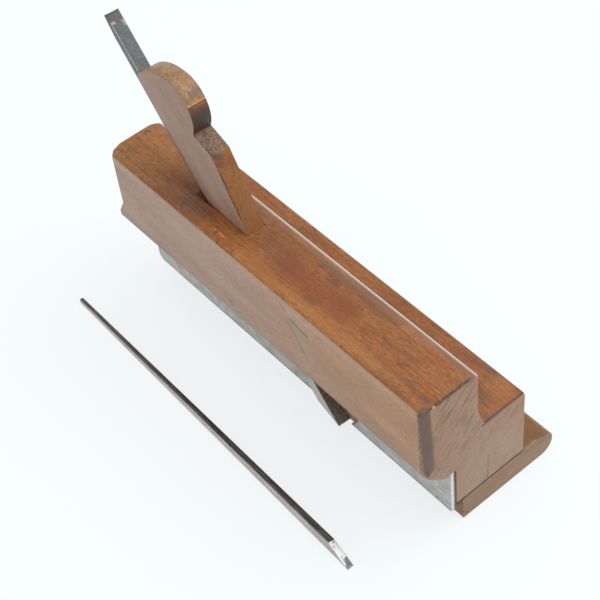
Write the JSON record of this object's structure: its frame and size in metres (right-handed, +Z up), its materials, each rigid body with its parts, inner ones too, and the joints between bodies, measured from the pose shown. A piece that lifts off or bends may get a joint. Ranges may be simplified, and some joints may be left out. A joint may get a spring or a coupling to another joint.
{
  "type": "grooving plane",
  "caption": "Wooden plane for ploughing a narrow groove: steel skate, tapered iron held by a wedge, sliding fence under the leg, and a narrower spare iron.",
  "frame": {"origin": "middle of the fence's flat underside, on which the plane stands", "axes": "+X from the heel to the toe, the way the plane is pushed; +Y from the grip side to the fence side; +Z up"},
  "size_m": [0.1952, 0.0957, 0.1393],
  "materials": {
    "stock_beech": "old oiled beech, orange-brown on top and greyer on the sides",
    "fence_beech": "old oiled beech",
    "wedge_beech": "old beech with dark hand-worn patina under the head",
    "skate_steel": "ground and scratched steel",
    "iron_steel": "dark aged steel with bright worn arrises",
    "spare_steel": "dark back, bright ground side and bevel",
    "screw_iron": "old slotted iron screws",
    "plate_brass": "dull aged brass",
    "screw_brass": "dull aged brass"
  },
  "bodies": {
    "stock": {"stock": "stock_beech", "skate_rear": "skate_steel", "skate_front": "skate_steel", "skate_screws_rear": "screw_iron", "skate_screws_front": "screw_iron"},
    "fence": {"fence": "fence_beech", "slot_plate_heel": "plate_brass", "slot_plate_toe": "plate_brass", "slot_plate_screws_heel": "screw_brass", "slot_plate_screws_toe": "screw_brass"},
    "fence_screw_heel": {"fence_screw_heel": "screw_iron"},
    "fence_screw_toe": {"fence_screw_toe": "screw_iron"},
    "cutting_iron": {"cutting_iron": "iron_steel"},
    "wedge": {"wedge": "wedge_beech"},
    "spare_iron": {"spare_iron": "spare_steel"}
  },
  "joints": [
    {"name": "fence_slide", "type": "slide", "parent": "stock", "child": "fence", "axis": [0, 1, 0], "range_m": [-0.0026, 0.009]},
    {"name": "fence_screw_heel_turn", "type": "hinge", "parent": "stock", "child": "fence_screw_heel", "pos_m": [-0.05708, -0.0051, 0], "axis": [0, 0, 1], "range_deg": [-180, 180]},
    {"name": "fence_screw_toe_turn", "type": "hinge", "parent": "stock", "child": "fence_screw_toe", "pos_m": [0.05792, -0.0051, 0], "axis": [0, 0, 1], "range_deg": [-180, 180]},
    {"name": "iron_slide", "type": "slide", "parent": "stock", "child": "cutting_iron", "axis": [-0.695, 0.0396, 0.718], "range_m": [-0.0015, 0.06]},
    {"name": "wedge_slide", "type": "slide", "parent": "cutting_iron", "child": "wedge", "axis": [-0.7066, 0.0396, 0.7066], "range_m": [0, 0.04]},
    {"name": "spare_iron_lift", "type": "slide", "parent": "stock", "child": "spare_iron", "axis": [0, 0, 1], "range_m": [0, 0.05]}
  ]
}
